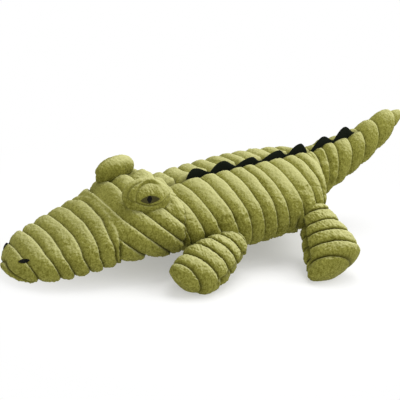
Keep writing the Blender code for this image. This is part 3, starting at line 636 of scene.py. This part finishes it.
def tail_shape(share, turn):
    first, last = TAIL_START, 1 + TIP_PLUMPNESS / TAIL_LENGTH
    along = first + (last - first) * share
    half_width, rise, half_height = read_curve(TAIL_SECTIONS, along)
    half_width *= TAIL_WIDTH / 2
    half_height *= TAIL_THICKNESS / 2
    centre = TAIL_Z + TAIL_RISE * rise
    closing = rounded_end(along, first, last, *TAIL_CAPS)
    angle = 2 * math.pi * turn
    upward = math.cos(angle)
    across, up = section_point(half_width, half_height, angle, TAIL_ROUNDNESS)
    place = TAIL_LENGTH * along
    base = Vector((TAIL_X + place, across, centre + up))
    wobble = TAIL_WANDER * noise.noise(base * 30)
    height, near = wale(place - TAIL_LEAN * up + wobble, TAIL_GROOVES)
    height += pile(base, 0.75 - 0.35 * upward)
    # loose tucks at the rump, and the seam that holds the felt
    height += 0.0030 * bump_at(place, 0.006, 0.012) * noise.noise(base * 110)
    seam = dip(across, 0.0032) if upward > 0 and place < 0.062 else 0.0
    height -= 0.0030 * seam
    across, up = section_point(
        (half_width + height) * closing, (half_height + height) * closing, angle, TAIL_ROUNDNESS)
    return Vector((base.x, across, centre + up)), max(near, 0.5 * seam)


tail = sew("tail_plush", 170, 220, tail_shape)
tail.data.materials.append(PLUSH)
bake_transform(tail)
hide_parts("tail_skin", "tail_stuffing")

# Two more scallops of felt stand on the tail: start, peak, end and height
TAIL_SCALLOPS = ((0.1335, 0.1460, 0.1628, 0.0135), (0.1650, 0.1770, 0.1925, 0.0150))


def tail_line(x):
    """Where the seam runs along the top of the tail."""
    half_width, rise, half_height = read_curve(TAIL_SECTIONS, (x - TAIL_X) / TAIL_LENGTH)
    return x, TAIL_Z + TAIL_RISE * rise + TAIL_THICKNESS / 2 * half_height - 0.0010


tail_felt = felt_strip("tail_felt", 0.1325, 0.1935, 160, tail_line, TAIL_SCALLOPS, 0.0022)
tail_felt.data.materials.append(FELT)
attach(tail_felt, "tail")
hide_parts("tail_scallops")

# ---------------------------------------------------------------- legs
# Each leg is a short stuffed paddle of two panels, its wales running round it, closed by
# a blunt foot and sewn into the side of the trunk. It is pressed flat where it stands.

# Along each leg, from its pivot: where it starts inside the trunk, and is at full size
LEG_START = -0.020
LEG_FULL = -0.008
LEG_ROUNDNESS = 2.1
LEG_WANDER = 0.0016
# How far the under panel's wales lie off the upper panel's, up to where along the leg
PANEL_SHIFT = 0.0058
PANEL_SHIFT_END = 0.048

# For each pair of legs: its roots, which way it is broad, how far its middle lies that
# way, how far its foot is skewed, where its tip bends to, its sections (place from the
# pivot, half breadth, half thickness and lean of the wales), its end, where it turns
# blunt, its grooves, and where round it the panels meet
LEGS = (
    ("front", LEG_ROOTS[0], Vector((-0.41, -0.60, 0.69)), -0.0030, 0.0, Vector((-0.0022, -0.0075, 0.0115)),
     ((-0.020, 0.0120, 0.0100, 0.20), (0.0, 0.0148, 0.0120, 0.20), (0.013, 0.0182, 0.0158, 0.20),
      (0.031, 0.0218, 0.0188, 0.20), (0.047, 0.0225, 0.0192, 0.20), (0.060, 0.0200, 0.0185, 0.20),
      (0.085, 0.0160, 0.0165, 0.20)),
     0.0870, 0.058, (-0.030, -0.014, 0.0010, 0.0160, 0.0325, 0.0510, 0.0712, 0.110), -0.86),
    ("rear", LEG_ROOTS[1], Vector((0.841, 0.315, 0.438)), -0.0008, 0.19, Vector((0.0, 0.0, 0.0)),
     ((-0.020, 0.0140, 0.0110, 0.0), (0.003, 0.0170, 0.0145, 0.04), (0.015, 0.0200, 0.0180, 0.14),
      (0.030, 0.0238, 0.0210, 0.28), (0.045, 0.0265, 0.0222, 0.42), (0.060, 0.0285, 0.0222, 0.48),
      (0.080, 0.0280, 0.0222, 0.48)),
     0.0690, 0.0540, (-0.030, -0.007, 0.0095, 0.0245, 0.0412, 0.0590, 0.100), -0.84),
)

for end, roots, broad, offset, skew, bend, sections, tip, blunt, grooves, panel_edge in LEGS:
    right_pivot, right_foot = roots[:2]
    for side_name, side in (("left", -1), ("right", 1)):
        pivot = Vector((right_pivot.x, side * right_pivot.y, right_pivot.z))
        foot = Vector((right_foot.x, side * right_foot.y, right_foot.z))
        ahead = (foot - pivot).normalized()
        wide = Vector((broad.x, side * broad.y, broad.z))
        wide = (wide - ahead * wide.dot(ahead)).normalized()
        thick = ahead.cross(wide) * side
        whole = tip - LEG_START

        def leg_shape(share, turn):
            place = LEG_START + whole * paced(share, 0.72, (blunt - LEG_START) / whole)
            half_breadth, half_thickness, lean = read_curve(sections, place)
            closing = 1.0
            if place < LEG_FULL:
                closing = math.sqrt(max(0.0, 1 - ((LEG_FULL - place) / (LEG_FULL - LEG_START)) ** 2))
            if place > blunt:
                closing = (1 - ((place - blunt) / (tip - blunt)) ** 2.3) ** 0.5
            angle = 2 * math.pi * turn
            thickly, broadly = section_point(
                half_thickness * closing, half_breadth * closing, angle, LEG_ROUNDNESS)
            middle = pivot + ahead * place + wide * offset
            base = middle + wide * broadly + thick * thickly
            facing = math.cos(angle)
            shift = PANEL_SHIFT if facing < panel_edge and place < PANEL_SHIFT_END else 0.0
            wobble = LEG_WANDER * noise.noise(base * 34)
            height, near = wale(place - lean * broadly + shift + wobble, grooves, 1.0)
            seam = dip((facing - panel_edge) * half_breadth, 0.0020) * closing
            seam *= 1 - min(1.0, max(0.0, (place - 0.040) / 0.014))
            height = height * (1 - 0.75 * seam) - 0.0014 * seam + pile(base, 0.85)
            # each wale swells where the panels' edges turn it
            height += (0.0024 - 0.0045 * near) * facing ** 6 * (1 - seam)
            thickly, broadly = section_point(
                (half_thickness + height) * closing, (half_breadth + height) * closing, angle, LEG_ROUNDNESS)
            skewed = -skew * broadly * min(1.0, max(0.0, place / 0.045))
            bent = min(1.0, max(0.0, (place - 0.055) / 0.034)) ** 2
            toward = Vector((bend.x, side * bend.y, bend.z)) * bent
            point = middle + wide * broadly + thick * thickly + ahead * skewed + toward
            # the foot's end is puckered where it is sewn shut
            point += ahead * (0.0022 * bent * noise.noise(base * 130 + Vector((4, 0, 0))))
            return Vector((point.x, point.y, pressed(point.z, base))), max(near, 0.7 * seam)

        leg = sew(f"{end}_{side_name}_leg_plush", 150, 200, leg_shape)
        leg.data.materials.append(PLUSH)
        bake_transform(leg)
        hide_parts(f"{end}_{side_name}_leg_skin", f"{end}_{side_name}_leg_stuffing")

# ---------------------------------------------------------------- eyes
# An oval pad of plush on each side of the crown, with a thick rolled flap over it, the
# stuffed eye under that, a lower lid, and the iris and pupil in satin stitch.

# On the right side: the pad's middle, its half sizes to the rear, outwards and up, and
# which way it faces
EYE_CENTRE = (-0.1055, 0.038, 0.0910)
EYE_PAD = (0.0238, 0.0105, 0.0168)
EYE_GAZE = (-0.25, 0.80, 0.50)
# How far plush stands over the pad away from its relief, and how far round the pad's
# rim the relief fades
PAD_RISE = 0.0026
PAD_RIM = 0.35
LID_LEVEL = -0.0112


def rise_at(value, middle, width):
    """A soft step from nought to one."""
    return 1 / (1 + math.exp(-(value - middle) / width))


def lid_crease(a):
    """Level of the crease along the top of the lower lid."""
    return LID_LEVEL + (15.0 if a < 0.002 else 28.0) * (a - 0.002) ** 2


def eye_height(a, b):
    """Relief on the pad and nearness to its creases: a runs to the rear and b up."""
    crease = lid_crease(a)
    above = rise_at(b, crease, 0.0004)
    # the flap is a soft roll, broad at the front, thin over the top and lost at the rear
    inner = math.hypot((a - 0.0014) / 0.0150, (b + 0.0050) / (0.0178 + 0.14 * a))
    fade = 1 - 0.85 * rise_at(a, 0.009, 0.0015)
    lifted = 1 - (1 - rise_at(inner, 1.0, 0.018)) * fade
    height = (0.0032 * lifted + 0.0006 * bump_at(inner, 1.08, 0.06) * fade) * above
    fold = dip((inner - 0.97) * 0.014, 0.0009) * above * fade
    # the stuffed eye, hollowed where it is embroidered
    if inner < 1:
        height += 0.0016 * (1 - inner * inner) ** 0.5 * above
    height -= 0.0020 * bump_at(a, 0.0020, 0.0100) * bump_at(b, -0.0058, 0.0036)
    # a second small fold in the flap at its front corner
    outer = math.hypot((a - 0.0020) / 0.0222, (b + 0.003) / 0.0160)
    tuck = dip(outer * 0.018 - 0.0182, 0.0010) * (above * rise_at(-a, 0.006, 0.002))
    # the lower lid, a roll from corner to corner
    cornered = bump_at(a, 0.0, 0.024)
    height += 0.0020 * bump_at(b, crease - 0.0030, 0.0030) * cornered
    line = dip(b - crease, 0.0009) * cornered
    height -= 0.0006 * fold + 0.0012 * tuck + 0.0010 * line
    return height, max(0.30 * fold, 0.55 * tuck, 0.6 * line)


def satin_finish(name, low, high):
    """Satin stitch: fine threads lying side by side."""
    finish, shader, places = new_finish(name, 0.8, Specular_IOR_Level=0.1)
    bands = {"wave_type": "BANDS", "bands_direction": "X"}
    threads = places.out(places.node("ShaderNodeTexWave", bands, Vector=places, Scale=420.0, Distortion=1.5))
    connect(threads.mix(low, high), shader, "Base Color")
    emboss(threads, shader, 0.5, 0.0003)
    return finish


def almond(share, turn, half_length, half_height, pointing):
    """A stitched almond: how far along and across it a point lies, and how proud it is."""
    spread, spin = math.sin(math.pi * share), 2 * math.pi * turn
    along = half_length * spread * math.cos(spin)
    across = half_height * spread * math.sin(spin) * (1 - pointing * (along / half_length) ** 2)
    return along, across, math.cos(math.pi * share)


STITCH_SLANT = 0.10
STITCH_HEIGHT = 0.0007
BLACK_SATIN = satin_finish("black_thread", (0.002, 0.002, 0.002, 1.0), (0.012, 0.012, 0.009, 1.0))
OLIVE_SATIN = satin_finish("olive_thread", (0.030, 0.026, 0.006, 1.0), (0.095, 0.088, 0.026, 1.0))

for side_name, side in (("left", -1), ("right", 1)):
    centre = Vector((EYE_CENTRE[0], side * EYE_CENTRE[1], EYE_CENTRE[2]))
    gaze = Vector((EYE_GAZE[0], side * EYE_GAZE[1], EYE_GAZE[2])).normalized()
    level = gaze.cross(Vector((0, 0, side))).normalized()
    upright = level.cross(gaze) * side

    def pad_point(rear, out, up, rough):
        """A point of the pad in a direction given by shares of its three half sizes."""
        length, depth, width = EYE_PAD
        base = centre + level * rear * length + gaze * out * depth + upright * up * width
        aim = level * rear / length + gaze * out / depth + upright * up / width
        height, near = eye_height(rear * length, up * width)
        front = min(1.0, max(0.0, out / PAD_RIM))
        height = PAD_RISE + (height - PAD_RISE) * front
        return base + aim.normalized() * (height + pile(base, rough)), near * front

    def pad_shape(share, turn):
        polar, spin = math.pi * share, 2 * math.pi * turn
        rear, up = math.sin(polar) * math.cos(spin), math.sin(polar) * math.sin(spin)
        return pad_point(rear, math.cos(polar), up, 0.35)

    pad = sew(f"{side_name}_eye_plush", 150, 190, pad_shape)
    pad.data.materials.append(PLUSH)
    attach(pad, "head")
    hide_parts(f"{side_name}_eye_mound", f"{side_name}_eyelid")

    # each almond's place on the pad, half length, half height and lift
    for part, finish, slot, place, half_length, half_height, lift in (
        ("iris", OLIVE_SATIN, "iris_thread", (0.0016, -0.0056), 0.0098, 0.0040, 0.0004),
        ("pupil", BLACK_SATIN, "thread", (0.0012, -0.0053), 0.0030, 0.0038, 0.0008),
    ):
        def stitched_shape(share, turn):
            along, across, proud = almond(share, turn, half_length, half_height, 0.55)
            rear = (place[0] + along) / EYE_PAD[0]
            up = (place[1] + across + STITCH_SLANT * along) / EYE_PAD[2]
            out = math.sqrt(max(0.0, 1 - rear * rear - up * up))
            return pad_point(rear, out, up, 0.0)[0] + gaze * (lift + STITCH_HEIGHT * proud), 0.0

        stitches = sew(f"{side_name}_{part}_stitches", 24, 48, stitched_shape)
        stitches.data.materials.append(finish)
        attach(stitches, "head")
        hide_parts(f"{side_name}_{part}")

# ---------------------------------------------------------------- nostrils
# Two black almonds in satin stitch across the first groove of the muzzle, sewn through
# the plush by hand. The right one sits a little lower on its side.

NOSTRIL_HALF_LENGTH = 0.0064
NOSTRIL_HALF_HEIGHT = 0.0027
NOSTRIL_LIFT = 0.0004
NOSTRIL_PROUD = 0.0009
NOSTRIL_PLACES = (
    ("left", -1, Vector((-0.2364, -0.0210, 0.0276))),
    ("right", 1, Vector((-0.2364, 0.0242, 0.0242))),
)

head_mesh = bmesh.new()
head_mesh.from_mesh(head.data)
head_surface = BVHTree.FromBMesh(head_mesh)
head_mesh.free()

for side_name, side, middle in NOSTRIL_PLACES:
    facing = Vector((-0.45, side * 0.60, 0.66)).normalized()
    long_way = Vector((0.77, side * 0.55, 0.25))
    long_way = (long_way - facing * long_way.dot(facing)).normalized()
    short_way = facing.cross(long_way)

    def nostril_shape(share, turn):
        """Lay the almond on the head's surface, from a little way outside it."""
        along, across, proud = almond(share, turn, NOSTRIL_HALF_LENGTH, NOSTRIL_HALF_HEIGHT, 0.6)
        outside = middle + long_way * along + short_way * across + facing * 0.02
        laid = head_surface.ray_cast(outside, -facing)[0]
        return laid + facing * (NOSTRIL_LIFT + NOSTRIL_PROUD * proud), 0.0

    nostril = sew(f"{side_name}_nostril_stitches", 20, 40, nostril_shape)
    nostril.data.materials.append(BLACK_SATIN)
    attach(nostril, "head")
    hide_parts(f"{side_name}_nostril")

# ---------------------------------------------------------------- squeaker
# A soft vinyl bulb with a hard reed pressed into its neck, sewn into a small pouch of
# woven lining that lies between two wads of filling.

for node, colour, roughness in (
    ("squeaker_pouch", (0.70, 0.70, 0.66, 1.0), 0.9),
    ("squeaker_bulb", (0.80, 0.80, 0.78, 1.0), 0.45),
    ("squeaker_reed", (0.75, 0.10, 0.08, 1.0), 0.4),
):
    finish, shader, places = new_finish(node + "_finish", roughness)
    shaded = [channel * 0.9 for channel in colour[:3]] + [1.0]
    connect(places.noise(300.0).mix(shaded, colour), shader, "Base Color")
    held = bpy.data.objects[node]
    held.data.materials.clear()
    held.data.materials.append(finish)

# ---------------------------------------------------------------- room
# A plain pale floor that fades into a white backdrop, lit from above and from one side
# by two soft studio lamps, and a camera on the toy's left and ahead of it.

WHITE = (1.0, 1.0, 1.0, 1.0)
FLOOR_SIZE = 6.0
# From the toy's middle: where the floor begins to fade to white, and where it is white
FADE_START = 0.06
FADE_END = 0.36
SKY_STRENGTH = 0.64
# Each lamp's name, place, size and power
LAMPS = (
    ("key", (1.10, -0.60, 1.20), 0.9, 9.0),
    ("top", (0.3, 0.1, 1.7), 1.0, 14.0),
)
LAMPS_AIM = Vector((0, 0, 0.05))


def room():
    floor_mesh = bpy.data.meshes.new("floor")
    sheet = bmesh.new()
    bmesh.ops.create_grid(sheet, x_segments=1, y_segments=1, size=FLOOR_SIZE)
    sheet.to_mesh(floor_mesh)
    sheet.free()
    floor = bpy.data.objects.new("floor", floor_mesh)
    bpy.context.scene.collection.objects.link(floor)
    finish, shader, places = new_finish("pale_floor", 0.9, Base_Color=(0.95, 0.95, 0.95, 1.0))
    distance = places.out(places.node("ShaderNodeVectorMath", {"operation": "LENGTH"}, _0=places), "Value")
    fade = {"_0": distance, "_1": FADE_START, "_2": FADE_END, "_3": 0.35}
    reach = places.out(places.node("ShaderNodeMapRange", {"interpolation_type": "SMOOTHSTEP"}, **fade))
    glow = places.out(places.node("ShaderNodeEmission", Color=WHITE, Strength=1.0))
    blend = places.out(places.node("ShaderNodeMixShader", _0=reach, _1=places.out(shader), _2=glow))
    connect(blend, finish.node_tree.nodes["Material Output"], "Surface")
    floor_mesh.materials.append(finish)

    # the toy is lit by a softer white than the camera sees behind it
    world = bpy.data.worlds.new("studio")
    bpy.context.scene.world = world
    world.use_nodes = True
    backdrop = world.node_tree.nodes["Background"]
    backdrop.inputs["Color"].default_value = WHITE
    backdrop.inputs["Strength"].default_value = SKY_STRENGTH
    sky = Wire(world, backdrop.outputs[0])
    seen = sky.out(sky.node("ShaderNodeBackground", Color=WHITE, Strength=1.0))
    by_camera = sky.out(sky.node("ShaderNodeLightPath"), "Is Camera Ray")
    either = sky.out(sky.node("ShaderNodeMixShader", _0=by_camera, _1=sky, _2=seen))
    connect(either, world.node_tree.nodes["World Output"], "Surface")

    for name, place, size, power in LAMPS:
        lamp = bpy.data.lights.new(name, "AREA")
        lamp.size = size
        lamp.energy = power
        holder = bpy.data.objects.new(name, lamp)
        holder.location = place
        holder.rotation_euler = (Vector(place) - LAMPS_AIM).to_track_quat("Z", "Y").to_euler()
        bpy.context.scene.collection.objects.link(holder)


room()

# From the view's middle back to the camera, and the picture's right
CAMERA_BACK = Vector((-0.4919, -0.7817, 0.3835))
CAMERA_RIGHT = Vector((0.8617, -0.5, 0.0862))
CAMERA_DISTANCE = 1.5
VIEW_CENTRE = Vector((-0.014, 0.0, 0.0583))
VIEW_WIDTH = 0.452
lens = bpy.data.cameras.new("camera")
lens.sensor_width = 36
lens.lens = lens.sensor_width * CAMERA_DISTANCE / VIEW_WIDTH
camera = bpy.data.objects.new("camera", lens)
camera_up = CAMERA_BACK.cross(CAMERA_RIGHT)
turned = Matrix((CAMERA_RIGHT, camera_up, CAMERA_BACK)).transposed().to_4x4()
camera.matrix_world = Matrix.Translation(VIEW_CENTRE + CAMERA_BACK * CAMERA_DISTANCE) @ turned
bpy.context.scene.collection.objects.link(camera)
bpy.context.scene.camera = camera
bpy.context.scene.view_settings.view_transform = "Standard"
